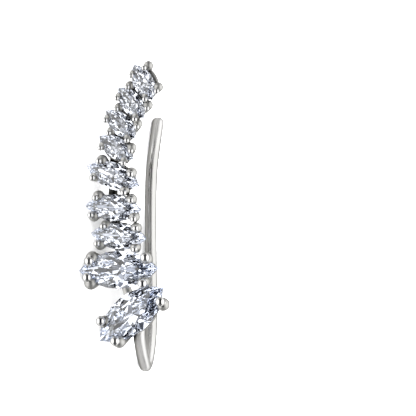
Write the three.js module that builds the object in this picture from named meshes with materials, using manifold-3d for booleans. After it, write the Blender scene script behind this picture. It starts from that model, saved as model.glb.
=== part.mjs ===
// Ear climber earring: nine marquise stones, each in an open four-claw setting, stepping up a curved
// line, with an ear wire soldered behind the lowest setting. Millimetres.
//
// Everything is first laid out in the earring's face frame: x to the right, y up the line of stones,
// z out of the stones towards the viewer, with z = 0 at the stones' girdles. The finished earring is then
// turned into the pose in which it lies by itself on a table, +Z up, with its long side along +Y.

import * as THREE from 'three';
import { ConvexGeometry } from 'three/addons/geometries/ConvexGeometry.js';
import { mergeVertices } from 'three/addons/utils/BufferGeometryUtils.js';
import Module from 'manifold-3d';

const wasm = await Module();
wasm.setup();
const { Manifold, Mesh } = wasm;

// ---- Driving dimensions ----------------------------------------------------------------------------

const SEAT_GAP = 0.04; // clearance between a stone and the metal cut away for it
const RAIL_THICKNESS = 0.3; // wall of the marquise rails, seen from the front
const RAIL_LENGTH = 0.87; // the gallery rail's length as a share of the stone's
const BASE_HEIGHT = 0.4;
const NECK = 0.7; // radius of the neck between a claw's ball and its shoulder, as a share of the ball's
const BAR_RADIUS = 0.38; // the joining bars between two settings
const BAR_SIDE = 0.45; // how far they lie to the left of the settings' middles
const WIRE_RADIUS = 0.512;
const WIRE_SIDES = 12;
const WIRE_STEPS = 96;
const WIRE_X = 1.31; // the ear wire lies in one plane, at this x
const BACK_LEG_POINT = 8; // the point of the ear wire's route that touches the table at rest
const SMOOTHING = 0.008; // bumps on the joined metal smaller than this are taken off

// The cut of the stones, in shares of their width.
const CUT = { crown: 0.15, girdle: 0.035, pavilion: 0.42, table: 0.58, starHeight: 0.5, lowerHalf: 0.6 };

// The sizes of setting. ball: the claw's tip; post: the claw's thick shoulder behind it; postIn and
// postDrop: how far the shoulder lies from the ball towards the stone's middle, and behind it; foot:
// the claw's radius at the base; railTop, railHeight and railGrow: how far the gallery rail starts
// behind the girdle, how high it is and how far it stands out beside the stone; base: the base rail's
// size as a share of the stone's; depth: how far it lies behind the girdle.
const SMALL = {
  ball: 0.24, post: 0.42, postIn: 0.12, postDrop: 0.5, foot: 0.24,
  railTop: 0.34, railHeight: 0.38, railGrow: 0.2, base: 0.74, depth: 1.35,
};
const MEDIUM = {
  ball: 0.285, post: 0.48, postIn: 0.12, postDrop: 0.52, foot: 0.28,
  railTop: 0.4, railHeight: 0.44, railGrow: 0.02, base: 0.74, depth: 1.65,
};
const LARGE = {
  ball: 0.42, post: 0.57, postIn: 0.1, postDrop: 0.6, foot: 0.34,
  railTop: 0.52, railHeight: 0.52, railGrow: -0.12, base: 0.8, depth: 2.4,
};
const LOWEST = { ...LARGE, base: 0.7 };

// The settings from the top down. x, y: centre of the stone; turn: its long axis from +x, in degrees;
// length, width: the stone; rise: how far the shoulders are pushed up the climber; claws: for the upper
// left, lower left, upper right and lower right claw, its place along the stone as a share of the half
// length, how far outside the girdle its ball is centred, and how far outside the ball its shoulder is.
const SETTINGS = [
  { x: 2.2, y: 24.2, turn: -61, length: 3.45, width: 1.8, size: SMALL, rise: 0.22,
    claws: [[-0.55, 0.05, 0.2], [-0.55, -0.1, -0.05], [0.75, 0.3, 0.05], [0.8, 0.1, -0.05]] },
  { x: 1.12, y: 22.5, turn: -49, length: 3.45, width: 1.8, size: SMALL, rise: 0.2,
    claws: [[-0.65, 0.1, 0.02], [-0.6, 0.0, -0.1], [0.8, 0.42, 0.02], [0.78, 0.18, -0.1]] },
  { x: 0.2, y: 20.7, turn: -42, length: 3.5, width: 1.8, size: SMALL, rise: 0.2,
    claws: [[-0.6, 0.12, 0.02], [-0.65, 0.0, -0.1], [0.75, 0.4, 0.0], [0.8, 0.2, -0.1]] },
  { x: -0.2, y: 18.73, turn: -33, length: 3.6, width: 1.8, size: SMALL, rise: 0.2,
    claws: [[-0.62, 0.12, 0.02], [-0.6, 0.08, -0.1], [0.74, 0.06, 0.05], [0.75, 0.25, -0.15]] },
  { x: -0.47, y: 16.38, turn: -20, length: 4.95, width: 2.25, size: MEDIUM, rise: 0.04,
    claws: [[-0.6, 0.0, 0.08], [-0.62, 0.0, -0.18], [0.62, -0.05, 0.05], [0.6, 0.22, -0.18]] },
  { x: -0.47, y: 13.71, turn: -4, length: 5.0, width: 2.25, size: MEDIUM, rise: 0,
    claws: [[-0.6, -0.05, 0.16], [-0.72, 0.15, 0.05], [0.66, 0.04, 0.1], [0.8, 0.36, -0.18]] },
  { x: 0.03, y: 11.33, turn: -5, length: 4.95, width: 2.25, size: MEDIUM, rise: 0,
    claws: [[-0.54, -0.15, 0.1], [-0.7, 0.15, 0.05], [0.63, 0.06, 0.02], [0.66, 0.3, -0.15]] },
  { x: 0.0, y: 8.52, turn: 2, length: 7.0, width: 3.2, size: LARGE, rise: 0,
    claws: [[-0.68, -0.15, 0.26], [-0.74, -0.24, 0.48], [0.74, 0.12, -0.1], [0.65, 0.24, -0.1]] },
  { x: 1.14, y: 4.78, turn: 38.5, length: 7.25, width: 3.35, size: LOWEST, rise: 0,
    claws: [[-0.64, 0.05, -0.2], [-0.65, -0.08, 0.14], null, [0.78, 0.12, 0.22]] },
];
// The lowest setting has no upper right claw of its own: it shares the lower right one of its neighbour.

// The ear wire's centre line as y, z from the solder joint behind the lowest setting, down round the
// bend and up behind the climber to the tip.
const WIRE_ROUTE = [
  [4.3, -1.95], [3.6, -1.66], [2.9, -1.6], [1.85, -2.05], [0.95, -2.62], [0.37, -3.22], [0.82, -3.84],
  [2.5, -4.54], [4.6, -4.78], [8.8, -4.68], [13.1, -4.57], [16.9, -4.88], [20.9, -6.48],
];

// ---- Solids ----------------------------------------------------------------------------------------

const vec = (x, y, z) => new THREE.Vector3(x, y, z);

function solidOf(geometry) {
  const bare = geometry.index ? geometry.clone() : geometry;
  bare.deleteAttribute('normal');
  bare.deleteAttribute('uv');
  const merged = mergeVertices(bare, 1e-5);
  return new Manifold(new Mesh({
    numProp: 3,
    vertProperties: merged.attributes.position.array,
    triVerts: Uint32Array.from(merged.index.array),
  }));
}

function geometryOf(solid) {
  const mesh = solid.getMesh();
  const geometry = new THREE.BufferGeometry();
  geometry.setAttribute('position', new THREE.BufferAttribute(mesh.vertProperties, 3));
  geometry.setIndex(new THREE.BufferAttribute(mesh.triVerts, 1));
  geometry.computeVertexNormals();
  return geometry;
}

// Twelve corners around a ball, a little outside it, so that their hull holds as much as the ball.
function knobPoints(centre, radius) {
  const position = new THREE.IcosahedronGeometry(radius * 1.18, 0).attributes.position;
  const points = [];
  for (let i = 0; i < position.count; i += 1) {
    points.push(new THREE.Vector3().fromBufferAttribute(position, i).add(centre));
  }
  return points;
}

function ball(centre, radius) {
  return solidOf(new THREE.OctahedronGeometry(radius * 1.05, 1).translate(centre.x, centre.y, centre.z));
}

// A bar with rounded ends between two places, as thick at each as the radius there.
function taper(from, fromRadius, to, toRadius) {
  return solidOf(new ConvexGeometry([...knobPoints(from, fromRadius), ...knobPoints(to, toRadius)]));
}

// ---- The marquise outline: two arcs that meet in a point at each end -------------------------------

function arcOf(halfLength, halfWidth) {
  const radius = (halfLength ** 2 + halfWidth ** 2) / (2 * halfWidth);
  return { radius, drop: radius - halfWidth, reach: Math.asin(halfLength / radius) };
}

// A point of the upper arc: share runs from -1 at the left tip to 1 at the right tip.
function arcPoint(arc, share) {
  const angle = share * arc.reach;
  return { x: arc.radius * Math.sin(angle), y: arc.radius * Math.cos(angle) - arc.drop };
}

function halfWidthAt(halfLength, halfWidth, x) {
  const arc = arcOf(halfLength, halfWidth);
  return Math.sqrt(arc.radius ** 2 - x ** 2) - arc.drop;
}

function marquiseShape(halfLength, halfWidth, steps, Kind) {
  const arc = arcOf(halfLength, halfWidth);
  const outline = [];
  for (const side of [1, -1]) {
    for (let i = 0; i < steps; i += 1) {
      const point = arcPoint(arc, 1 - (2 * i) / steps);
      outline.push(new THREE.Vector2(side * point.x, side * point.y));
    }
  }
  return new Kind(outline);
}

// ---- Marquise brilliant: 8 mains, 8 stars and 16 halves above, 8 mains and 16 halves below ---------

// The convex body of all the facets' corners. Each level lists the corners of one quarter of the stone:
// the table, the stars' outer corners, both edges of the girdle and the lower halves' inner corners.
// extra grows the outline and the girdle all round.
function marquiseBrilliant(length, width, extra = 0) {
  const halfLength = length / 2 + extra;
  const halfWidth = width / 2 + extra;
  const arc = arcOf(halfLength, halfWidth);
  const girdle = (width * CUT.girdle) / 2 + extra;
  const crown = width * CUT.crown;
  const pavilion = width * CUT.pavilion;

  const belly = arcPoint(arc, 0);
  const shoulder = arcPoint(arc, 0.5);
  const tip = { x: halfLength, y: 0 };
  const lean = { x: Math.sin(arc.reach / 2), y: Math.cos(arc.reach / 2) };
  const reach = lean.x * shoulder.x + lean.y * shoulder.y;
  const corners = [
    { x: (reach - lean.y * halfWidth) / lean.x, y: halfWidth },
    { x: halfLength, y: (reach - lean.x * halfLength) / lean.y },
  ];
  const mains = [belly, shoulder, tip];
  const between = [arcPoint(arc, 0.25), arcPoint(arc, 0.75)];

  const starScale = 1 - (1 - CUT.table) * CUT.starHeight;
  const levels = [
    { points: mains, scale: CUT.table, z: girdle + crown },
    { points: corners, scale: starScale, z: girdle + crown * CUT.starHeight },
    { points: [...mains, ...between], scale: 1, z: girdle },
    { points: [...mains, ...between], scale: 1, z: -girdle },
    { points: corners, scale: 1 - CUT.lowerHalf, z: -girdle - pavilion * CUT.lowerHalf },
  ];
  const vertices = [vec(0, 0, -girdle - pavilion)];
  for (const { points, scale, z } of levels) {
    for (const { x, y } of points) {
      for (const [sx, sy] of [[1, 1], [-1, 1], [1, -1], [-1, -1]]) {
        const mirrored = (sx < 0 && x === 0) || (sy < 0 && y === 0);
        if (!mirrored) vertices.push(vec(sx * x * scale, sy * y * scale, z));
      }
    }
  }
  return new ConvexGeometry(vertices);
}

// ---- Settings --------------------------------------------------------------------------------------

function placeOf(setting) {
  const turned = new THREE.Matrix4().makeRotationZ(THREE.MathUtils.degToRad(setting.turn));
  return turned.setPosition(setting.x, setting.y, 0);
}

// A claw's ball, shoulder and foot, in the setting's own frame: x along the stone, y across it.
function clawPlaces(setting, index) {
  const { size, length, width, claws, turn, rise } = setting;
  const [share, out, shoulder] = claws[index];
  const side = index % 2 === 0 ? 1 : -1;
  const along = (share * length) / 2;
  const edge = halfWidthAt(length / 2, width / 2, along);
  const girdle = (width * CUT.girdle) / 2;
  const angle = THREE.MathUtils.degToRad(turn);
  const height = girdle + (size.ball + SEAT_GAP) * 1.2;
  return {
    ball: vec(along, side * (edge + out), height),
    post: vec(
      along - Math.sign(share) * size.postIn + rise * Math.sin(angle),
      side * (edge + out + shoulder) + rise * Math.cos(angle),
      height - size.postDrop,
    ),
    foot: vec(along * 0.78, side * edge * 0.75, size.foot - size.depth),
  };
}

function claw(setting, index) {
  const { size } = setting;
  const { ball: tip, post, foot } = clawPlaces(setting, index);
  return [
    ball(tip, size.ball),
    taper(tip, size.ball * NECK, post, size.ball * NECK),
    taper(post, size.post, foot, size.foot),
  ];
}

// A flat marquise ring of the given outer half sizes.
function rail(halfLength, halfWidth, top, height, steps) {
  const shape = marquiseShape(halfLength, halfWidth, steps, THREE.Shape);
  const innerLength = halfLength - RAIL_THICKNESS * 1.4;
  shape.holes.push(marquiseShape(innerLength, halfWidth - RAIL_THICKNESS, steps, THREE.Path));
  const ring = new THREE.ExtrudeGeometry(shape, { depth: height, bevelEnabled: false });
  return solidOf(ring.translate(0, 0, top - height));
}

function settingMetal(setting) {
  const { size, claws } = setting;
  const [halfLength, halfWidth] = [setting.length / 2, setting.width / 2];
  const parts = [
    rail(halfLength * RAIL_LENGTH, halfWidth + size.railGrow, -size.railTop, size.railHeight, 6),
    rail(halfLength * size.base, halfWidth * size.base, BASE_HEIGHT - size.depth, BASE_HEIGHT, 4),
  ];
  claws.forEach((row, index) => {
    if (row) parts.push(...claw(setting, index));
  });
  return Manifold.union(parts).transform(placeOf(setting).elements);
}

// A short round bar that joins the bases of two neighbouring settings.
function joiningBar(upper, lower) {
  const direction = vec(lower.x - upper.x, lower.y - upper.y, 0).normalize();
  const end = (setting, sign) => vec(-BAR_SIDE, 0, BAR_RADIUS - setting.size.depth)
    .applyMatrix4(placeOf(setting))
    .addScaledVector(direction, sign * setting.width * 0.26);
  return taper(end(upper, 1), BAR_RADIUS, end(lower, -1), BAR_RADIUS);
}

// ---- Ear wire --------------------------------------------------------------------------------------

function wirePoints() {
  return WIRE_ROUTE.map(([y, z]) => vec(WIRE_X, y, z));
}

function earWire() {
  const route = new THREE.CatmullRomCurve3(wirePoints(), false, 'centripetal');
  const section = new THREE.Shape();
  for (let i = 0; i < WIRE_SIDES; i += 1) {
    const angle = (2 * Math.PI * i) / WIRE_SIDES;
    const [x, y] = [WIRE_RADIUS * Math.cos(angle), WIRE_RADIUS * Math.sin(angle)];
    if (i === 0) section.moveTo(x, y);
    else section.lineTo(x, y);
  }
  section.closePath();
  const tube = new THREE.ExtrudeGeometry(section, {
    steps: WIRE_STEPS, extrudePath: route, bevelEnabled: false, curveSegments: 1,
  });
  return Manifold.union([solidOf(tube), ball(wirePoints().at(-1), WIRE_RADIUS)]);
}

// ---- Assembly --------------------------------------------------------------------------------------

function climberFrame() {
  const metal = SETTINGS.map(settingMetal);
  for (let i = 1; i < SETTINGS.length; i += 1) metal.push(joiningBar(SETTINGS[i - 1], SETTINGS[i]));
  metal.push(earWire());
  const seats = SETTINGS.map((setting) => (
    solidOf(marquiseBrilliant(setting.length, setting.width, SEAT_GAP)).transform(placeOf(setting).elements)
  ));
  return geometryOf(Manifold.union(metal).subtract(Manifold.union(seats)).simplify(SMOOTHING));
}

// ---- Pose at rest ----------------------------------------------------------------------------------

// On a table the earring leans on three places: the left point of the widest setting's base, the ear
// wire's back leg and the ear wire's tip. Each is a ball that touches the table.
function restingPlaces() {
  const widest = SETTINGS.at(-2);
  const basePoint = vec((-widest.length / 2) * widest.size.base, 0, -widest.size.depth);
  const points = wirePoints();
  return [
    { centre: basePoint.applyMatrix4(placeOf(widest)), radius: 0 },
    { centre: points[BACK_LEG_POINT], radius: WIRE_RADIUS },
    { centre: points.at(-1), radius: WIRE_RADIUS },
  ];
}

// The direction, in the face frame, that points straight up when all three places touch the table.
function upAtRest() {
  const [first, second, third] = restingPlaces();
  const toSecond = second.centre.clone().sub(first.centre);
  const toThird = third.centre.clone().sub(first.centre);
  const riseSecond = second.radius - first.radius;
  const riseThird = third.radius - first.radius;
  const [ss, st, tt] = [toSecond.dot(toSecond), toSecond.dot(toThird), toThird.dot(toThird)];
  const det = ss * tt - st * st;
  const up = vec(0, 0, 0)
    .addScaledVector(toSecond, (riseSecond * tt - riseThird * st) / det)
    .addScaledVector(toThird, (riseThird * ss - riseSecond * st) / det);
  const across = toSecond.clone().cross(toThird).normalize();
  const rest = Math.sqrt(1 - up.lengthSq()) * Math.sign(across.z);
  return up.addScaledVector(across, rest);
}

function layDown(object) {
  const up = upAtRest();
  const right = vec(0, 1, 0).cross(up).normalize();
  const forward = up.clone().cross(right);
  const faceToTable = new THREE.Matrix4().makeBasis(right, forward, up).transpose();
  object.quaternion.setFromRotationMatrix(faceToTable);
  object.updateMatrixWorld(true);
  const box = new THREE.Box3().setFromObject(object, true);
  const middle = box.getCenter(vec(0, 0, 0));
  object.position.set(-middle.x, -middle.y, -box.min.z);
}

// ---- Earring ---------------------------------------------------------------------------------------

const silver = new THREE.MeshStandardMaterial({ color: 0xd9d8d3, roughness: 0.12, metalness: 1 });
const crystal = new THREE.MeshStandardMaterial({ color: 0xe9edf6, roughness: 0.02, metalness: 0 });

const earring = new THREE.Group();
const frame = new THREE.Mesh(climberFrame(), silver);
frame.name = 'climber_frame';
earring.add(frame);

SETTINGS.forEach((setting, i) => {
  const stone = new THREE.Mesh(marquiseBrilliant(setting.length, setting.width), crystal.clone());
  stone.name = `stone_${i + 1}`;
  stone.position.set(setting.x, setting.y, 0);
  stone.rotation.z = THREE.MathUtils.degToRad(setting.turn);
  earring.add(stone);
});

layDown(earring);

export default earring;
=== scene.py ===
"""Ear climber earring: nine clear marquise stones in open claw settings of polished silver.

The tables below are in the earring's face frame, in millimetres: x to the right, y up the line of
stones, z out of the stones towards the viewer, with z = 0 at the stones' girdles. The stones of the
frame say how that face lies in the row frame, where the earring rests on a table, in metres.
"""

import math
from collections import namedtuple

import bmesh
import bpy
import numpy as np
from mathutils import Matrix, Vector


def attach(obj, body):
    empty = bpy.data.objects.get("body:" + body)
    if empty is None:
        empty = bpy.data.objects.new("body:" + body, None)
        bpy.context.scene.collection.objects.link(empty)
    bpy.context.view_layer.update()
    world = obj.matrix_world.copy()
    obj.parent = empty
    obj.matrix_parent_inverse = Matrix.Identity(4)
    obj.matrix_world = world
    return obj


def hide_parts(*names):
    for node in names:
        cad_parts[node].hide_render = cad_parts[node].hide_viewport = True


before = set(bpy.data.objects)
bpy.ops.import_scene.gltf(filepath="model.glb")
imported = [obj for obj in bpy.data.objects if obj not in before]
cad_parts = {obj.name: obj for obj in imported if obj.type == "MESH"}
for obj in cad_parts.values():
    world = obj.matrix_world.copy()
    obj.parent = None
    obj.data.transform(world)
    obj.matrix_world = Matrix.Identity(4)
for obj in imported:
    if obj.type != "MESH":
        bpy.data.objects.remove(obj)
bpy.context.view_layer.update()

MM = 0.001

# ---- Sizes -----------------------------------------------------------------------------------------

SEAT_GAP = 0.04  # clearance between a stone and the metal cut away for it
RAIL_THICKNESS = 0.3  # wall of the marquise rails, seen from the front
RAIL_LENGTH = 0.87  # the gallery rail's length as a share of the stone's
RAIL_ROUND = 0.07  # radius of the rails' polished edges
RAIL_INSET = 0.5  # how far a rail's centre line lies inside its outline, in thicknesses of the wall
POINT_INSET = 0.7  # the same at the two points
BASE_HEIGHT = 0.4
NECK = 0.7  # radius of the neck between a claw's ball and its shoulder, as a share of the ball's
BALL_RISE = 1.2  # how far a ball's middle lies above the girdle, in ball radii with the seat gap added
FOOT_ALONG = 0.78  # where a claw's foot stands along the stone, as a share of where its ball does
FOOT_ACROSS = 0.75  # and across it, as a share of the stone's half width there
BAR_RADIUS = 0.38  # the joining bars between two settings
BAR_SIDE = 0.45  # how far they lie to the left of the settings' middles
BAR_REACH = 0.26  # how far their ends lie from those middles, as a share of the stone's width
WIRE_RADIUS = 0.5
WIRE_X = 1.31  # the ear wire lies in one plane, at this x
GIRDLE = 0.035  # the girdle's thickness as a share of the stone's width

# ball: the claw's tip; post: its thick shoulder; post_in and post_drop: how far the shoulder lies from
# the ball towards the stone's middle, and behind it; foot: the claw's radius at the base; rail_top,
# rail_height and rail_grow: the gallery rail's place, its height and how far it stands out beside the
# stone; base: the base rail's share of the stone's size; depth: its place.
Size = namedtuple("Size", "ball post post_in post_drop foot rail_top rail_height rail_grow base depth")
SMALL = Size(0.24, 0.42, 0.12, 0.5, 0.24, 0.34, 0.38, 0.2, 0.74, 1.35)
MEDIUM = Size(0.285, 0.48, 0.12, 0.52, 0.28, 0.4, 0.44, 0.02, 0.74, 1.65)
LARGE = Size(0.42, 0.568, 0.1, 0.6, 0.34, 0.52, 0.52, -0.12, 0.8, 2.4)
LOWEST = LARGE._replace(base=0.7)

# The settings from the top down. turn: the stone's long axis from +x, in degrees; rise: how far the
# shoulders are pushed up the climber; claws: for the upper left, lower left, upper right and lower
# right claw, its place along the stone as a share of the half length, how far outside the girdle its
# ball is centred, and how far outside the ball its shoulder is.
Setting = namedtuple("Setting", "x y turn length width size rise claws")
SETTINGS = [
    Setting(2.2, 24.2, -61, 3.45, 1.8, SMALL, 0.22,
            [(-0.55, 0.05, 0.2), (-0.55, -0.1, -0.05), (0.75, 0.3, 0.05), (0.8, 0.1, -0.05)]),
    Setting(1.12, 22.5, -49, 3.45, 1.8, SMALL, 0.2,
            [(-0.65, 0.1, 0.02), (-0.6, 0.0, -0.1), (0.8, 0.42, 0.02), (0.78, 0.18, -0.1)]),
    Setting(0.2, 20.7, -42, 3.5, 1.8, SMALL, 0.2,
            [(-0.6, 0.12, 0.02), (-0.65, 0.0, -0.1), (0.75, 0.4, 0.0), (0.8, 0.2, -0.1)]),
    Setting(-0.2, 18.73, -33, 3.6, 1.8, SMALL, 0.2,
            [(-0.62, 0.12, 0.02), (-0.6, 0.08, -0.1), (0.74, 0.06, 0.05), (0.75, 0.25, -0.15)]),
    Setting(-0.47, 16.38, -20, 4.95, 2.25, MEDIUM, 0.04,
            [(-0.6, 0.0, 0.08), (-0.62, 0.0, -0.18), (0.62, -0.05, 0.05), (0.6, 0.22, -0.18)]),
    Setting(-0.47, 13.71, -4, 5.0, 2.25, MEDIUM, 0,
            [(-0.6, -0.05, 0.16), (-0.72, 0.15, 0.05), (0.66, 0.04, 0.1), (0.8, 0.36, -0.18)]),
    Setting(0.03, 11.33, -5, 4.95, 2.25, MEDIUM, 0,
            [(-0.54, -0.15, 0.1), (-0.7, 0.15, 0.05), (0.63, 0.06, 0.02), (0.66, 0.3, -0.15)]),
    Setting(0.0, 8.52, 2, 7.0, 3.2, LARGE, 0,
            [(-0.68, -0.15, 0.26), (-0.74, -0.24, 0.48), (0.74, 0.12, -0.1), (0.65, 0.24, -0.1)]),
    Setting(1.14, 4.78, 38.5, 7.25, 3.35, LOWEST, 0,
            [(-0.64, 0.05, -0.2), (-0.65, -0.08, 0.14), None, (0.78, 0.12, 0.22)]),
]
# The lowest setting has no upper right claw of its own: it shares the lower right one of its neighbour.

# The ear wire's centre line as y, z, from the solder joint behind the lowest setting to the tip.
WIRE_ROUTE = [
    (4.3, -1.95), (3.6, -1.66), (2.9, -1.6), (1.85, -2.05), (0.95, -2.62), (0.38, -3.22), (0.82, -3.84),
    (2.5, -4.54), (4.6, -4.78), (8.8, -4.68), (13.1, -4.57), (16.9, -4.88), (20.9, -6.48),
]

BALL_SEGMENTS = 32
RAIL_STEPS = 48
ROUND_STEPS = 3  # in the round of a rail's edge
WIRE_STEPS = 12  # between two points of the route
BAR_STEPS = 8  # places along a bar that its finish is marked round
CREASE = math.radians(32)  # edges that turn by more than this stay crisp
WELD_DISTANCE = 1e-6  # corners nearer than this are one

# ---- Finish, painted highlight and painted shade ---------------------------------------------------

CAST_ROUGHNESS = 0.44  # of the settings
CLOUD_ROUGHNESS = 0.02  # how much the roughness of all the metal wanders
CREVICE = 0.6  # how far the painted shade of a crevice reaches
PAINTED_SHADE = (0.06, 0.06, 0.055, 1)  # painted shade: the dark laid in crevices, on the joining bars and on the ear wire's side that faces the settings
STONE_HAZE = 0.001  # roughness of the stones at the most

# The ear wire's look changes round it, from the side that faces the settings at 0 to its outer side
# at 1: its roughness changes, and bands of painted highlight and painted shade lie over it. A look is
# held
# as a colour: its red says how bright the metal is painted, its green how rough it is, and its blue how
# much painted shade lies on it.
WIRE_OUTER_SIDE = Vector((0.951, 0, -0.309))
DULL_IN_PAINTED_SHADE = (0, 0.44, 0.5, 1)
GLOSSY_PAINTED_HALF_BRIGHT = (0.5, 0.02, 0, 1)
SATIN_PAINTED_HIGHLIGHT = (1, 0.8, 0, 1)
BRUSHED_PAINTED_HIGHLIGHT = (0.9, 0.36, 0, 1)
# Round the back leg, then round the rest of the wire: the red is painted highlight and painted shade, the
# blue painted shade, the green the metal's own roughness.
LEG_FINISH_AND_PAINTED_LIGHT = [
    (0.0, DULL_IN_PAINTED_SHADE), (0.28, DULL_IN_PAINTED_SHADE), (0.3, GLOSSY_PAINTED_HALF_BRIGHT), (0.395, GLOSSY_PAINTED_HALF_BRIGHT), (0.405, SATIN_PAINTED_HIGHLIGHT), (0.44, SATIN_PAINTED_HIGHLIGHT),
    (0.45, GLOSSY_PAINTED_HALF_BRIGHT), (0.505, GLOSSY_PAINTED_HALF_BRIGHT), (0.52, SATIN_PAINTED_HIGHLIGHT), (0.595, SATIN_PAINTED_HIGHLIGHT),
    (0.61, (0.2, 0.06, 0, 1)), (1.0, (0.15, 0.06, 0, 1))]
BEND_FINISH_AND_PAINTED_LIGHT = [
    (0.0, (0, 0.5, 0.7, 1)), (0.2, (0, 0.5, 0.45, 1)), (0.38, SATIN_PAINTED_HIGHLIGHT), (0.58, SATIN_PAINTED_HIGHLIGHT),
    (0.62, BRUSHED_PAINTED_HIGHLIGHT), (0.85, BRUSHED_PAINTED_HIGHLIGHT), (1.0, (0.2, 0.5, 0.2, 1))]

# Where a finish, a painted highlight or a painted shade starts and where it is full: round a ball, bar or
# wire, in radii from its middle; and on the wire's back leg, by its z behind the stones and its y below
# the tip.
MARK_FADE = (1.1, 1.04)
BACK_LEG_Z = (-3.6, -4.4)
BACK_LEG_Y = (20.4, 18.4)

# ---- View and light --------------------------------------------------------------------------------

VIEW_TURN = math.radians(18)  # the camera stands this far to the right of the face's own direction
VIEW_CENTRE = Vector((7.886, 13.683, 0))  # the point of the face plane in the middle of the view
VIEW_WIDTH = 34.667  # of the face plane, from one side of the view to the other
VIEW_DISTANCE = 450
TABLE_HALF = 0.6  # in metres, as are the lamp's height and size
LAMP_HEIGHT = 0.45
LAMP_SIZE = 0.5
LAMP_POWER = 11.0
LIGHT_BOUNCES = 40  # light is caught many times over in the points of the stones

# The light tent. Directions are taken from the earring: across to the camera's right, up, and towards
# the lens, and each runs from -1 to 1. An opening is a dark rectangle with soft edges, in the half of
# the tent that holds the lens. The caps are the tent's dark ends, above and below.
Opening = namedtuple("Opening", "half_width middle half_height side_edge end_edge")
OPENINGS = [
    Opening(0.43, 0, 0.86, 0.04, 0.05),  # the slit that the lens looks through
    Opening(0.72, 0.83, 0.11, 0.05, 0.03),
    Opening(0.64, -0.83, 0.11, 0.05, 0.03),
]
CAPS = (0.93, 0.96)
DARK_OPENING = (0.012, 0.012, 0.016, 1)
CLOTH_BEHIND = (0.36, 0.36, 0.355, 1)  # the cloth at the earring's back
CLOTH = (1.22, 1.22, 1.22, 1)
CLOTH_EDGE = (-0.55, -0.15)  # the directions in which the one turns into the other, towards the lens

# What light sees that has come through a stone: black, blue grey and white cards, each with the value
# of a noise over the sky at which it is reached, and the lens's grey hood.
CARD_SCALE = 2.7
BLACK_CARD = (0.004, 0.004, 0.006, 1)
CARDS = [
    (0.0, BLACK_CARD), (0.472, BLACK_CARD), (0.482, (0.36, 0.38, 0.44, 1)),
    (0.5, (0.58, 0.61, 0.68, 1)), (0.52, (1.3, 1.31, 1.35, 1)), (0.58, (2.6, 2.6, 2.6, 1))]
LENS_HOOD = Vector((0.07, -0.53, 0.85))  # its direction: across, up and towards the lens
HOOD_EDGE = (0.96, 0.965)
HOOD_GREY = (0.3, 0.31, 0.33, 1)


# ---- The face frame --------------------------------------------------------------------------------

def stone_centre(number):
    """Halfway between the two points of a stone, which are its farthest corners."""
    corners = np.array([v.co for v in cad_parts[f"stone_{number}"].data.vertices])
    gaps = np.linalg.norm(corners[:, None] - corners[None], axis=2)
    first, second = np.unravel_index(gaps.argmax(), gaps.shape)
    return (corners[first] + corners[second]) / 2


def face_to_row():
    """The matrix from the face frame in millimetres to the row frame in metres."""
    drawn = np.array([(s.x, s.y, 0) for s in SETTINGS]) * MM
    lying = np.array([stone_centre(i + 1) for i in range(len(SETTINGS))])
    u, _, vt = np.linalg.svd((drawn - drawn.mean(0)).T @ (lying - lying.mean(0)))
    mirror = np.diag([1, 1, np.sign(np.linalg.det(vt.T @ u.T))])
    turn = vt.T @ mirror @ u.T
    place = Matrix(turn.tolist()).to_4x4()
    place.translation = lying.mean(0) - turn @ drawn.mean(0)
    return place @ Matrix.Scale(MM, 4)


FACE = face_to_row()


# ---- Nodes written as expressions ------------------------------------------------------------------

class Socket:
    """An output of a node. Arithmetic on it adds the Math nodes that work the result out."""

    def __init__(self, graph, socket):
        self.graph = graph
        self.socket = socket

    def output(self, name):
        """Another output of the same node."""
        return Socket(self.graph, self.socket.node.outputs[name])

    def math(self, operation, *values):
        return self.graph.add("ShaderNodeMath", {"operation": operation}, dict(enumerate(values)))

    def __add__(self, other):
        return self.math("ADD", self, other)

    def __radd__(self, other):
        return self.math("ADD", other, self)

    def __sub__(self, other):
        return self.math("SUBTRACT", self, other)

    def __rsub__(self, other):
        return self.math("SUBTRACT", other, self)

    def __mul__(self, other):
        return self.math("MULTIPLY", self, other)

    def __rmul__(self, other):
        return self.math("MULTIPLY", other, self)

    def __truediv__(self, other):
        return self.math("DIVIDE", self, other)

    def __abs__(self):
        return self.math("ABSOLUTE", self)

    def __gt__(self, other):
        return self.math("GREATER_THAN", self, other)


class Graph:
    """A node tree, and the one way a node is added to it."""

    def __init__(self, tree):
        self.tree = tree

    def add(self, kind, settings=None, inputs=None, output=0):
        node = self.tree.nodes.new(kind)
        for name, value in (settings or {}).items():
            if name == "stops":
                set_stops(node.color_ramp, value)
            else:
                setattr(node, name, value)
        for name, value in (inputs or {}).items():
            self.feed(node.inputs[name], value)
        return Socket(self, node.outputs[output]) if node.outputs else node

    def feed(self, target, value):
        for source in value if isinstance(value, list) else [value]:
            if isinstance(source, Socket):
                self.tree.links.new(source.socket, target)
            else:
                target.default_value = source


def set_stops(ramp, stops):
    while len(ramp.elements) < len(stops):
        ramp.elements.new(0.5)
    for element, (position, colour) in zip(ramp.elements, stops):
        element.position = position
        element.color = colour


# ---- Geometry node trees ---------------------------------------------------------------------------

def geometry_tree(name, inputs):
    """An empty geometry tree with a Geometry input and output and the named inputs of a kind."""
    tree = bpy.data.node_groups.new(name, "GeometryNodeTree")
    tree.interface.new_socket("Geometry", in_out="INPUT", socket_type="NodeSocketGeometry")
    for label, kind in inputs.items():
        tree.interface.new_socket(label, in_out="INPUT", socket_type=f"NodeSocket{kind}")
    tree.interface.new_socket("Geometry", in_out="OUTPUT", socket_type="NodeSocketGeometry")
    graph = Graph(tree)
    return graph, graph.add("NodeGroupInput", output="Geometry")


def attribute(graph, name):
    return graph.add("GeometryNodeInputNamedAttribute", {"data_type": "FLOAT"}, {"Name": name})


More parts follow.
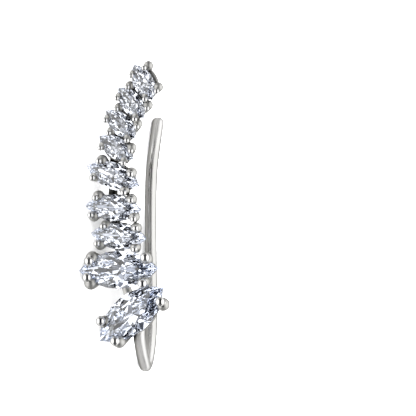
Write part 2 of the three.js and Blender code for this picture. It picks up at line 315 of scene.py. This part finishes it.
def rods_tree():
    """Round rods along the edges of a mesh, as thick as its points' radius, with a ball at each knob."""
    graph, given = geometry_tree("Rods and knobs", {"Segments": "Int"})
    segments = given.output("Segments")
    radius = attribute(graph, "radius")
    section = graph.add("GeometryNodeCurvePrimitiveCircle", {"mode": "RADIUS"},
                        {"Resolution": segments, "Radius": 1.0})
    path = graph.add("GeometryNodeMeshToCurve", inputs={"Mesh": given})
    rods = graph.add("GeometryNodeCurveToMesh", inputs={
        "Curve": path, "Profile Curve": section, "Scale": radius, "Fill Caps": True})
    ball = graph.add("GeometryNodeMeshUVSphere", inputs={
        "Segments": segments, "Rings": segments.math("DIVIDE", segments, 2), "Radius": 1.0})
    knobs = graph.add("GeometryNodeInstanceOnPoints", inputs={
        "Points": given, "Selection": attribute(graph, "knob") > 0.5, "Instance": ball, "Scale": radius})
    joined = graph.add("GeometryNodeJoinGeometry", inputs={
        "Geometry": [rods, graph.add("GeometryNodeRealizeInstances", inputs={"Geometry": knobs})]})
    graph.add("NodeGroupOutput", inputs={"Geometry": joined})
    return graph.tree


def rail_tree():
    """A closed rail round a marquise outline: two arcs that meet in a point at each end."""
    graph, given = geometry_tree("Marquise rail", {
        "Half length": "Float", "Half width": "Float", "Thickness": "Float", "Height": "Float",
        "Edge round": "Float", "Steps": "Int"})
    size = {name: given.output(name) for name in
            ("Half length", "Half width", "Thickness", "Height", "Edge round", "Steps")}
    half_length = size["Half length"] - POINT_INSET * size["Thickness"]
    half_width = size["Half width"] - RAIL_INSET * size["Thickness"]
    radius = (half_length * half_length + half_width * half_width) / (2 * half_width)
    reach = given.math("ARCSINE", half_length / radius)

    index = graph.add("GeometryNodeInputIndex")
    per_arc = size["Steps"] / 2
    side = 1 - 2 * (index > per_arc - 0.5)
    share = 1 - 2 * index.math("MODULO", index, per_arc) / per_arc
    along = radius * index.math("SINE", share * reach)
    across = radius * index.math("COSINE", share * reach) - radius + half_width
    outline = graph.add("ShaderNodeCombineXYZ", inputs={"X": side * along, "Y": side * across})

    circle = graph.add("GeometryNodeCurvePrimitiveCircle", {"mode": "RADIUS"},
                       {"Resolution": size["Steps"], "Radius": 1.0})
    path = graph.add("GeometryNodeSetPosition", inputs={"Geometry": circle, "Position": outline})
    upright = graph.add("GeometryNodeSetCurveNormal", {"mode": "Z_UP"}, {"Curve": path})
    box = graph.add("GeometryNodeCurvePrimitiveQuadrilateral", {"mode": "RECTANGLE"},
                    {"Width": size["Thickness"], "Height": size["Height"]})
    section = graph.add("GeometryNodeFilletCurve", {"mode": "POLY"},
                        {"Curve": box, "Count": ROUND_STEPS, "Radius": size["Edge round"]})
    rail = graph.add("GeometryNodeCurveToMesh", inputs={"Curve": upright, "Profile Curve": section})
    graph.add("NodeGroupOutput", inputs={"Geometry": rail})
    return graph.tree


def solder_tree():
    """Joins every closed part of a mesh into one body, cuts the stones' seats and polishes it."""
    graph, given = geometry_tree("Soldered body", {
        "Seats": "Object", "Crease": "Float", "Material": "Material"})
    island = graph.add("GeometryNodeInputMeshIsland")
    parts = graph.add("GeometryNodeSplitToInstances", {"domain": "POINT"},
                      {"Geometry": given, "Group ID": island})
    body = graph.add("GeometryNodeMeshBoolean", {"operation": "UNION", "solver": "MANIFOLD"},
                     {"Mesh 2": parts})
    seats = graph.add("GeometryNodeObjectInfo", {"transform_space": "ORIGINAL"},
                      {"Object": given.output("Seats")}, output="Geometry")
    seated = graph.add("GeometryNodeMeshBoolean", {"operation": "DIFFERENCE", "solver": "MANIFOLD"},
                       {"Mesh 1": body, "Mesh 2": seats})
    crease = graph.add("GeometryNodeInputMeshEdgeAngle") > given.output("Crease")
    smooth = graph.add("GeometryNodeSetShadeSmooth", {"domain": "FACE"},
                       {"Geometry": seated, "Shade Smooth": True})
    edged = graph.add("GeometryNodeSetShadeSmooth", {"domain": "EDGE"},
                      {"Geometry": smooth, "Selection": crease, "Shade Smooth": False})
    real = graph.add("GeometryNodeRealizeInstances", inputs={"Geometry": edged})
    finished = graph.add("GeometryNodeSetMaterial", inputs={
        "Geometry": real, "Material": given.output("Material")})
    graph.add("NodeGroupOutput", inputs={"Geometry": finished})
    return graph.tree


def grow(mesh, tree, values):
    """The plain mesh that a geometry tree makes of a mesh, with its named inputs set."""
    seed = bpy.data.objects.new("seed", mesh)
    bpy.context.scene.collection.objects.link(seed)
    modifier = seed.modifiers.new("grow", "NODES")
    modifier.node_group = tree
    for item in tree.interface.items_tree:
        if item.in_out == "INPUT" and item.name in values:
            modifier[item.identifier] = values[item.name]
    graph = bpy.context.evaluated_depsgraph_get()
    made = bpy.data.meshes.new_from_object(seed.evaluated_get(graph), depsgraph=graph)
    bpy.data.objects.remove(seed)
    return made


# ---- Metal -----------------------------------------------------------------------------------------

def half_width_at(length, width, x):
    """Half the width of a marquise outline at a distance x from its middle."""
    radius = (length ** 2 + width ** 2) / (4 * width)
    return math.sqrt(radius ** 2 - x ** 2) - radius + width / 2


def place_of(setting):
    turned = Matrix.Rotation(math.radians(setting.turn), 4, "Z")
    return Matrix.Translation((setting.x, setting.y, 0)) @ turned


def claw_points(setting, index):
    """The ball, shoulder and foot of a claw, each a place in the face frame and a radius."""
    share, out, shoulder = setting.claws[index]
    size = setting.size
    side = 1 if index % 2 == 0 else -1
    along = share * setting.length / 2
    edge = half_width_at(setting.length, setting.width, along)
    height = setting.width * GIRDLE / 2 + (size.ball + SEAT_GAP) * BALL_RISE
    turn = math.radians(setting.turn)
    ball = (along, side * (edge + out), height)
    post = (along - math.copysign(size.post_in, share) + setting.rise * math.sin(turn),
            side * (edge + out + shoulder) + setting.rise * math.cos(turn),
            height - size.post_drop)
    foot = (along * FOOT_ALONG, side * edge * FOOT_ACROSS, size.foot - size.depth)
    place = place_of(setting)
    return [(place @ Vector(point), radius) for point, radius in
            ((ball, size.ball), (post, size.post), (foot, size.foot))]


def bar_points(upper, lower):
    """The two ends of the bar that joins the bases of two neighbouring settings."""
    step = Vector((lower.x - upper.x, lower.y - upper.y, 0)).normalized()
    ends = []
    for setting, sign in ((upper, 1), (lower, -1)):
        middle = place_of(setting) @ Vector((-BAR_SIDE, 0, BAR_RADIUS - setting.size.depth))
        ends.append((middle + step * sign * setting.width * BAR_REACH, BAR_RADIUS))
    return ends


def smooth_route(points, steps):
    """A centripetal curve through the points, with a few steps between each two."""
    ends = [2 * points[0] - points[1], 2 * points[-1] - points[-2]]
    rail = [ends[0], *points, ends[1]]
    route = []
    for p0, p1, p2, p3 in zip(rail, rail[1:], rail[2:], rail[3:]):
        t1 = math.sqrt((p1 - p0).length)
        t2 = t1 + math.sqrt((p2 - p1).length)
        t3 = t2 + math.sqrt((p3 - p2).length)
        for i in range(steps):
            t = t1 + (t2 - t1) * i / steps
            a1 = p0.lerp(p1, t / t1)
            a2 = p1.lerp(p2, (t - t1) / (t2 - t1))
            a3 = p2.lerp(p3, (t - t2) / (t3 - t2))
            b1 = a1.lerp(a2, t / t2)
            b2 = a2.lerp(a3, (t - t1) / (t3 - t1))
            route.append(b1.lerp(b2, (t - t1) / (t2 - t1)))
    return [*route, points[-1]]


def wire_points():
    return smooth_route([Vector((WIRE_X, y, z)) for y, z in WIRE_ROUTE], WIRE_STEPS)


class Skeleton:
    """Points with a radius, joined by edges where a rod runs, and marked where a ball sits."""

    def __init__(self):
        self.points = []
        self.edges = []
        self.knobs = []

    def line(self, points, knobs):
        """points: (place, radius); knobs: which of them carry a ball."""
        start = len(self.points)
        self.points += points
        self.knobs += [i in knobs for i in range(len(points))]
        self.edges += [(start + i, start + i + 1) for i in range(len(points) - 1)]

    def mesh(self):
        mesh = bpy.data.meshes.new("skeleton")
        mesh.from_pydata([place for place, _ in self.points], self.edges, [])
        radius = mesh.attributes.new("radius", "FLOAT", "POINT")
        radius.data.foreach_set("value", [size for _, size in self.points])
        knob = mesh.attributes.new("knob", "FLOAT", "POINT")
        knob.data.foreach_set("value", [float(mark) for mark in self.knobs])
        return mesh


def rods():
    skeleton = Skeleton()
    for setting in SETTINGS:
        for index, row in enumerate(setting.claws):
            if row:
                ball, post, foot = claw_points(setting, index)
                neck = setting.size.ball * NECK
                skeleton.line([ball], (0,))
                skeleton.line([(ball[0], neck), (post[0], neck)], ())
                skeleton.line([post, foot], (0, 1))
    for upper, lower in zip(SETTINGS, SETTINGS[1:]):
        skeleton.line(bar_points(upper, lower), (0, 1))
    wire = [(point, WIRE_RADIUS) for point in wire_points()]
    skeleton.line(wire, (0, len(wire) - 1))
    return grow(skeleton.mesh(), rods_tree(), {"Segments": BALL_SEGMENTS})


def rails():
    """The gallery rail and the base rail of each setting."""
    tree = rail_tree()
    made = []
    for setting in SETTINGS:
        size = setting.size
        half_length, half_width = setting.length / 2, setting.width / 2
        gallery = (half_length * RAIL_LENGTH, half_width + size.rail_grow, size.rail_height,
                   -size.rail_top - size.rail_height / 2)
        base = (half_length * size.base, half_width * size.base, BASE_HEIGHT,
                BASE_HEIGHT / 2 - size.depth)
        for length, width, height, level in (gallery, base):
            ring = grow(bpy.data.meshes.new("rail"), tree, {
                "Half length": length, "Half width": width, "Height": height,
                "Thickness": RAIL_THICKNESS, "Edge round": RAIL_ROUND, "Steps": RAIL_STEPS})
            ring.transform(place_of(setting) @ Matrix.Translation((0, 0, level)))
            made.append(ring)
    return made


def joined(name, meshes, weld=False):
    """One mesh of several. weld merges corners that lie in the same place."""
    made = bmesh.new()
    for mesh in meshes:
        made.from_mesh(mesh)
    if weld:
        bmesh.ops.remove_doubles(made, verts=made.verts, dist=WELD_DISTANCE)
    mesh = bpy.data.meshes.new(name)
    made.to_mesh(mesh)
    made.free()
    return mesh


def seats():
    """The stones, grown by the seat gap, in the face frame: the shape cut out of the metal."""
    to_face = FACE.inverted()
    made = []
    for number, setting in enumerate(SETTINGS, 1):
        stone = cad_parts[f"stone_{number}"].data.copy()
        place = place_of(setting)
        stone.transform(place.inverted() @ to_face)
        heights = [v.co.z for v in stone.vertices]
        grow_by = [1 + SEAT_GAP / half for half in
                   (setting.length / 2, setting.width / 2, (max(heights) - min(heights)) / 2)]
        stone.transform(place @ Matrix.Diagonal((*grow_by, 1)))
        made.append(stone)
    return bpy.data.objects.new("seats", joined("seats", made, weld=True))


def fade(values, start, full):
    """0 for the values on the near side of start, 1 for those beyond full, and even between."""
    return np.clip((values - start) / (full - start), 0, 1)


def near(corners, places):
    """1 at the corners that lie on a ball round one of the places, 0 away from them."""
    result = np.zeros(len(corners))
    for centre, radius in places:
        distance = np.linalg.norm(corners - np.array(centre), axis=1) / radius
        result = np.maximum(result, fade(distance, *MARK_FADE))
    return result


def mark_finish_and_painted_light(mesh):
    """Marks the balls, the ear wire, its back leg and all the joining bars but the lowest; the bars get
    painted shade, and the wire gets painted highlight and painted shade.
    """
    corners = np.array([v.co for v in mesh.vertices])
    balls = near(corners, [claw_points(setting, i)[0] for setting in SETTINGS
                           for i, row in enumerate(setting.claws) if row])
    wire = near(corners, [(point, WIRE_RADIUS) for point in wire_points()])
    back_leg = fade(corners[:, 2], *BACK_LEG_Z) * fade(corners[:, 1], *BACK_LEG_Y)
    # The joining bars are marked for painted shade.
    bars = near(corners, [(start.lerp(end, share), radius)
                          for (start, radius), (end, _) in map(bar_points, SETTINGS, SETTINGS[1:-1])
                          for share in np.linspace(0, 1, BAR_STEPS)])
    marks = {"ball": balls, "wire": wire, "back leg": back_leg, "bar": bars}
    for name, values in marks.items():
        mesh.attributes.new(name, "FLOAT", "POINT").data.foreach_set("value", values)


def climber_metal(material):
    cutter = seats()
    bpy.context.scene.collection.objects.link(cutter)
    parts = joined("parts", [rods(), *rails()])
    mesh = grow(parts, solder_tree(), {"Seats": cutter, "Crease": CREASE, "Material": material})
    bpy.data.objects.remove(cutter)
    mesh.name = "climber_metal"
    mark_finish_and_painted_light(mesh)
    mesh.transform(FACE)
    piece = bpy.data.objects.new("climber_metal", mesh)
    bpy.context.scene.collection.objects.link(piece)
    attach(piece, "root")
    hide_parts("climber_frame")


# ---- Materials -------------------------------------------------------------------------------------

def new_material(name):
    material = bpy.data.materials.new(name)
    material.use_nodes = True
    material.node_tree.nodes.clear()
    graph = Graph(material.node_tree)
    place = graph.add("ShaderNodeTexCoord", output="Object")
    return material, graph, place


def finish_material(graph, **parts):
    graph.add("ShaderNodeOutputMaterial", inputs=parts)


def noise(graph, place, per_mm, detail=2.0):
    return graph.add("ShaderNodeTexNoise", inputs={
        "Vector": place, "Scale": per_mm / MM, "Detail": detail, "Roughness": 0.5})


def mix(graph, factor, first, second):
    """Two colours mixed. The numbers are the places of the node's factor and colour sockets."""
    return graph.add("ShaderNodeMix", {"data_type": "RGBA"}, {0: factor, 6: first, 7: second}, output=2)


def dot(graph, first, second):
    return graph.add("ShaderNodeVectorMath", {"operation": "DOT_PRODUCT"},
                     {0: first, 1: second}, output="Value")


def polished_silver():
    """Mirror bright on the balls, greyer and softer on the cast settings, with painted shade in crevices
    and on the joining bars, and bands of painted highlight and painted shade round the ear wire.
    """
    material, graph, place = new_material("polished_silver")
    cloud = noise(graph, place, per_mm=0.8, detail=3)
    grain = noise(graph, place, per_mm=14)
    ball, wire, back_leg, bar = (
        graph.add("ShaderNodeAttribute", {"attribute_name": name}, output="Fac")
        for name in ("ball", "wire", "back leg", "bar"))
    normal = graph.add("ShaderNodeTexCoord", output="Normal")
    outwards = FACE.to_3x3().normalized() @ WIRE_OUTER_SIDE
    round_wire = 0.5 + 0.5 * dot(graph, normal, outwards)
    leg, bend = (graph.add("ShaderNodeValToRGB", {"stops": stops}, {"Fac": round_wire})
                 for stops in (LEG_FINISH_AND_PAINTED_LIGHT, BEND_FINISH_AND_PAINTED_LIGHT))
    # Bands of painted highlight and painted shade round the ear wire, with its roughness.
    wire_bands = graph.add("ShaderNodeSeparateColor", inputs={"Color": mix(graph, back_leg, bend, leg)})
    # The balls are bright with polish; on the ear wire this brightness is painted highlight and painted
    # shade.
    polish_and_painted_light = ball.math("MAXIMUM", ball, wire * wire_bands.output("Red"))
    rough = (1 - ball) * ((1 - wire) * CAST_ROUGHNESS + wire * wire_bands.output("Green"))
    # Painted shade on the joining bars and on the ear wire's side that faces the settings.
    painted_dark = bar.math("MAXIMUM", bar, wire * wire_bands.output("Blue"))
    # Ambient occlusion darkens the colour in crevices: painted shade.
    open_sky = graph.add("ShaderNodeAmbientOcclusion", {"samples": 8},
                         {"Distance": CREVICE * MM}, output="AO")
    cast = mix(graph, cloud, (0.66, 0.655, 0.63, 1), (0.74, 0.735, 0.71, 1))
    shaded = mix(graph, open_sky - painted_dark, PAINTED_SHADE, cast)
    bright = mix(graph, cloud, (0.9, 0.895, 0.88, 1), (0.96, 0.955, 0.94, 1))
    bump = graph.add("ShaderNodeBump", inputs={
        "Strength": 0.05, "Distance": 0.01 * MM, "Height": grain})
    finish_material(graph, Surface=graph.add("ShaderNodeBsdfPrincipled", inputs={
        "Base Color": mix(graph, polish_and_painted_light, shaded, bright), "Metallic": 1.0,
        "Roughness": rough + CLOUD_ROUGHNESS * cloud, "Normal": bump}))
    return material


def clear_stone():
    """Clear zirconia with a trace of ice blue, which deepens where light stays in the stone for long."""
    material, graph, place = new_material("clear_stone")
    cloud = noise(graph, place, per_mm=0.5)
    haze = noise(graph, place, per_mm=9)
    colour = mix(graph, cloud, (0.93, 0.95, 1.0, 1), (0.97, 0.98, 1.0, 1))
    finish_material(graph, Surface=graph.add("ShaderNodeBsdfPrincipled", inputs={
        "Base Color": colour, "Roughness": STONE_HAZE * haze, "IOR": 2.16, "Transmission Weight": 1.0}),
        Volume=graph.add("ShaderNodeVolumeAbsorption", inputs={
            "Color": (0.85, 0.9, 1.0, 1), "Density": 100.0}))
    return material


def paper():
    material, graph, place = new_material("paper")
    fibre = noise(graph, place, per_mm=2, detail=4)
    colour = mix(graph, fibre, (0.86, 0.86, 0.865, 1), (0.89, 0.89, 0.895, 1))
    finish_material(graph, Surface=graph.add("ShaderNodeBsdfPrincipled", inputs={
        "Base Color": colour, "Roughness": 0.6}))
    return material


# ---- Table, light and camera -----------------------------------------------------------------------

def table():
    corners = [(x * TABLE_HALF, y * TABLE_HALF, 0) for x, y in ((-1, -1), (1, -1), (1, 1), (-1, 1))]
    mesh = bpy.data.meshes.new("table")
    mesh.from_pydata(corners, [], [(0, 1, 2, 3)])
    mesh.materials.append(paper())
    top = bpy.data.objects.new("table", mesh)
    top.visible_glossy = False
    top.visible_transmission = False
    bpy.context.scene.collection.objects.link(top)


def view_axes():
    """The camera's right, up and back directions in the row frame."""
    turn = FACE.to_3x3().normalized()
    right = turn @ Vector((math.cos(VIEW_TURN), 0, -math.sin(VIEW_TURN)))
    up = turn @ Vector((0, 1, 0))
    return right, up, right.cross(up)


def camera():
    right, up, back = view_axes()
    data = bpy.data.cameras.new("camera")
    data.angle = 2 * math.atan(VIEW_WIDTH / 2 / VIEW_DISTANCE)
    data.clip_start = 0.01
    data.clip_end = 10
    eye = bpy.data.objects.new("camera", data)
    bpy.context.scene.collection.objects.link(eye)
    eye.matrix_world = Matrix((right, up, back)).transposed().to_4x4()
    eye.location = FACE @ VIEW_CENTRE + back * VIEW_DISTANCE * MM
    bpy.context.scene.camera = eye


def tent():
    """A light tent of white cloth, grey behind the earring, with dark openings round the lens. Light that
    has come through a stone sees the cards and the hood instead."""
    right, up, back = view_axes()
    world = bpy.data.worlds.new("tent")
    bpy.context.scene.world = world
    world.use_nodes = True
    world.node_tree.nodes.clear()
    graph = Graph(world.node_tree)
    sky = graph.add("ShaderNodeTexCoord", output="Generated")

    def ramp(value, start, end):
        """0 below start, 1 above end, and smooth between."""
        return graph.add("ShaderNodeMapRange", {"interpolation_type": "SMOOTHSTEP"}, {
            "Value": value, "From Min": start, "From Max": end})

    across, height, front = (dot(graph, sky, axis) for axis in (right, up, back))
    dark = ramp(abs(height), *CAPS)
    for opening in OPENINGS:
        sides = ramp(opening.half_width - abs(across), 0, opening.side_edge)
        ends = ramp(opening.half_height - abs(height - opening.middle), 0, opening.end_edge)
        dark = dark.math("MAXIMUM", dark, sides * ends * (front > 0))
    cloth = mix(graph, ramp(front, *CLOTH_EDGE), CLOTH_BEHIND, CLOTH)
    outside = mix(graph, dark, cloth, DARK_OPENING)

    spread = graph.add("ShaderNodeTexNoise", inputs={
        "Vector": sky, "Scale": CARD_SCALE, "Detail": 1.0, "Roughness": 0.5})
    cards = graph.add("ShaderNodeValToRGB", {"stops": CARDS}, {"Fac": spread})
    to_hood = Matrix((right, up, back)).transposed() @ LENS_HOOD
    inside = mix(graph, ramp(dot(graph, sky, to_hood), *HOOD_EDGE), cards, HOOD_GREY)
    through_stone = graph.add("ShaderNodeLightPath", output="Is Transmission Ray")
    colour = mix(graph, through_stone, outside, inside)
    shade = graph.add("ShaderNodeBackground", inputs={"Color": colour, "Strength": 1.0})
    graph.add("ShaderNodeOutputWorld", inputs={"Surface": shade})


def lamp():
    """A large soft lamp above the table. It whitens the paper and isn't mirrored in the earring."""
    data = bpy.data.lights.new("lamp", "AREA")
    data.size = LAMP_SIZE
    data.energy = LAMP_POWER
    light = bpy.data.objects.new("lamp", data)
    bpy.context.scene.collection.objects.link(light)
    light.location = (0, 0, LAMP_HEIGHT)
    light.visible_glossy = False
    light.visible_transmission = False


# ---- The earring -----------------------------------------------------------------------------------

def dress_stones():
    material = clear_stone()
    for number in range(1, len(SETTINGS) + 1):
        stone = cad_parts[f"stone_{number}"]
        stone.data.materials.clear()
        stone.data.materials.append(material)


table()
camera()
tent()
lamp()
bpy.context.scene.view_settings.view_transform = "Standard"
bpy.context.scene.cycles.max_bounces = LIGHT_BOUNCES
bpy.context.scene.cycles.transmission_bounces = LIGHT_BOUNCES
bpy.context.scene.cycles.glossy_bounces = LIGHT_BOUNCES
dress_stones()
climber_metal(polished_silver())
